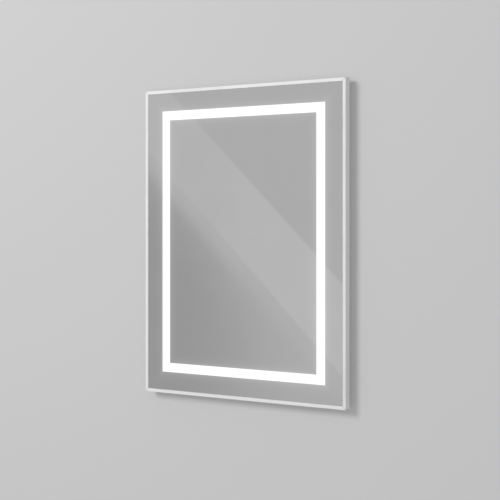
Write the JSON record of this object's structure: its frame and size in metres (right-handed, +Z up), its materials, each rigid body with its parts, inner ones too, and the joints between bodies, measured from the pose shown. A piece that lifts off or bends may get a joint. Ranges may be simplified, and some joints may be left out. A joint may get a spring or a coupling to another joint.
{
  "type": "lighted bathroom mirror",
  "caption": "Upright rectangular wall mirror in a slim satin aluminium frame, with an etched band all round lit from behind, hooked on a wall rail.",
  "frame": {"origin": "on the wall plane, at the centre of the wall rail's two screw slots", "axes": "+X to the right as one faces the mirror, +Y into the wall, +Z up"},
  "size_m": [0.6, 0.035, 0.8],
  "materials": {
    "satin_frame": "satin anodised, pale silver",
    "silvered_glass": "silvered float glass, matt etched band",
    "die_cast": "die cast",
    "zinc_plated": "bright zinc plated",
    "foam_tape": "closed foam",
    "rubber": "matt black",
    "mill_aluminium": "mill finish",
    "opal_diffuser": "opal",
    "light_strip": "white circuit with light-emitting chips",
    "zinc_coated_sheet": "hot-dip zinc coated",
    "painted_cover": "white powder coat",
    "white_plastic": "moulded",
    "circuit_board": "circuit board with components",
    "grey_plastic": "moulded",
    "brass": "turned",
    "brown_lead": "insulation",
    "blue_lead": "insulation",
    "green_lead": "insulation",
    "red_lead": "insulation",
    "black_lead": "insulation"
  },
  "bodies": {
    "rail": {"wall_rail": "mill_aluminium"},
    "mirror": {"frame_rail_top": "satin_frame", "frame_stile_right": "satin_frame", "frame_rail_bottom": "satin_frame", "frame_stile_left": "satin_frame", "mirror_glass": "silvered_glass", "corner_key_top_right": "die_cast", "corner_key_bottom_right": "die_cast", "corner_key_bottom_left": "die_cast", "corner_key_top_left": "die_cast", "corner_key_screws": "zinc_plated", "panel_screws": "zinc_plated", "spacer_screws": "zinc_plated", "cover_screws": "zinc_plated", "driver_screws": "zinc_plated", "terminal_screws": "zinc_plated", "glazing_tape": "foam_tape", "glazing_gasket": "rubber", "spacer_pad_left": "rubber", "spacer_pad_right": "rubber", "cable_grommet": "rubber", "lead_bush": "rubber", "led_channel_top": "mill_aluminium", "led_channel_right": "mill_aluminium", "led_channel_bottom": "mill_aluminium", "led_channel_left": "mill_aluminium", "hanger_rivets": "mill_aluminium", "diffuser_top": "opal_diffuser", "diffuser_right": "opal_diffuser", "diffuser_bottom": "opal_diffuser", "diffuser_left": "opal_diffuser", "led_strip_top": "light_strip", "led_strip_right": "light_strip", "led_strip_bottom": "light_strip", "led_strip_left": "light_strip", "strip_corner_links": "light_strip", "back_panel": "zinc_coated_sheet", "hanger_bar": "zinc_coated_sheet", "service_cover": "painted_cover", "driver_housing": "white_plastic", "driver_lid": "white_plastic", "lead_clips": "white_plastic", "terminal_block": "white_plastic", "driver_board": "circuit_board", "wall_spacer_left": "grey_plastic", "wall_spacer_right": "grey_plastic", "earth_stud": "brass", "earth_nut": "brass", "earth_lug": "brass", "mains_lead_live": "brown_lead", "mains_lead_neutral": "blue_lead", "earth_lead": "green_lead", "led_lead_plus": "red_lead", "led_lead_minus": "black_lead"}
  },
  "joints": [
    {"name": "lift_off", "type": "slide", "parent": "rail", "child": "mirror", "axis": [0, 0, 1], "range_m": [0, 0.014]}
  ]
}
